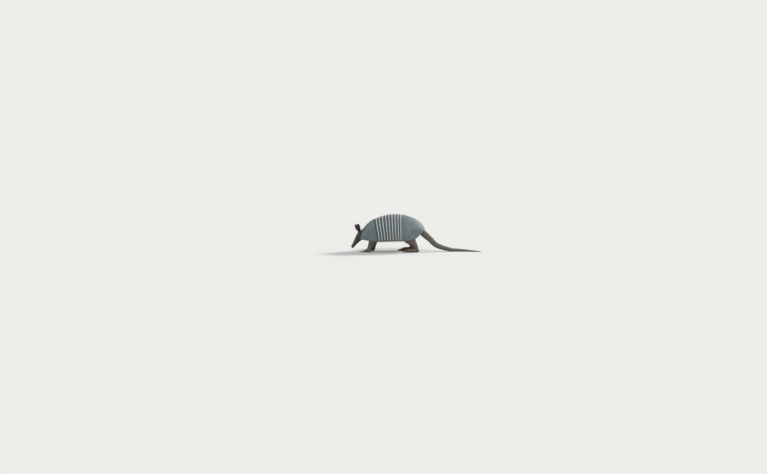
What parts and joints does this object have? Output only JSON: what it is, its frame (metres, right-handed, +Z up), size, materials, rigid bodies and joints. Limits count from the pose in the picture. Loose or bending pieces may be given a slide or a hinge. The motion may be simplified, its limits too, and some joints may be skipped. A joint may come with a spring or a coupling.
{
  "type": "nine-banded armadillo model",
  "caption": "Life-size still model of an armadillo feeding with its head down: banded shell, ringed tail laid on the floor, upright ears, clawed feet.",
  "frame": {"origin": "on the floor, under the middle of the whole animal's box", "axes": "the snout points to -X and the tail to +X, the animal's right side to +Y, +Z up"},
  "size_m": [0.6738, 0.1656, 0.1936],
  "materials": {
    "shell": "smooth horn over bone, fine grooves between scutes, low sheen",
    "band": "horn with long wedge-shaped scutes, pale at the rear edge",
    "tail": "ringed horn with small keeled scutes",
    "head_shield": "dark horn in irregular plates",
    "skin": "matte folded skin with small scales and sparse pale hairs",
    "ear": "dark pebbled leathery skin",
    "nose": "bare damp skin",
    "eye": "glossy, nearly black",
    "claw": "smooth pale horn with a low sheen"
  },
  "bodies": {
    "root": {"shoulder_shield": "shell", "band_1": "band", "band_2": "band", "band_3": "band", "band_4": "band", "band_5": "band", "band_6": "band", "band_7": "band", "band_8": "band", "band_9": "band", "hip_shield": "shell", "trunk": "skin", "neck": "skin", "head": "skin", "head_shield": "head_shield", "nose": "nose", "eye_left": "eye", "ear_left": "ear", "eye_right": "eye", "ear_right": "ear", "fore_leg_left": "skin", "fore_foot_left": "skin", "fore_claw_left_1": "claw", "fore_claw_left_2": "claw", "fore_claw_left_3": "claw", "fore_claw_left_4": "claw", "hind_leg_left": "skin", "hind_foot_left": "skin", "hind_claw_left_1": "claw", "hind_claw_left_2": "claw", "hind_claw_left_3": "claw", "hind_claw_left_4": "claw", "hind_claw_left_5": "claw", "fore_leg_right": "skin", "fore_foot_right": "skin", "fore_claw_right_1": "claw", "fore_claw_right_2": "claw", "fore_claw_right_3": "claw", "fore_claw_right_4": "claw", "hind_leg_right": "skin", "hind_foot_right": "skin", "hind_claw_right_1": "claw", "hind_claw_right_2": "claw", "hind_claw_right_3": "claw", "hind_claw_right_4": "claw", "hind_claw_right_5": "claw", "tail_ring_1": "tail", "tail_ring_2": "tail", "tail_ring_3": "tail", "tail_ring_4": "tail", "tail_ring_5": "tail", "tail_ring_6": "tail", "tail_ring_7": "tail", "tail_ring_8": "tail", "tail_ring_9": "tail", "tail_ring_10": "tail", "tail_ring_11": "tail", "tail_ring_12": "tail", "tail_end": "tail", "tail_tip": "tail"}
  },
  "joints": []
}
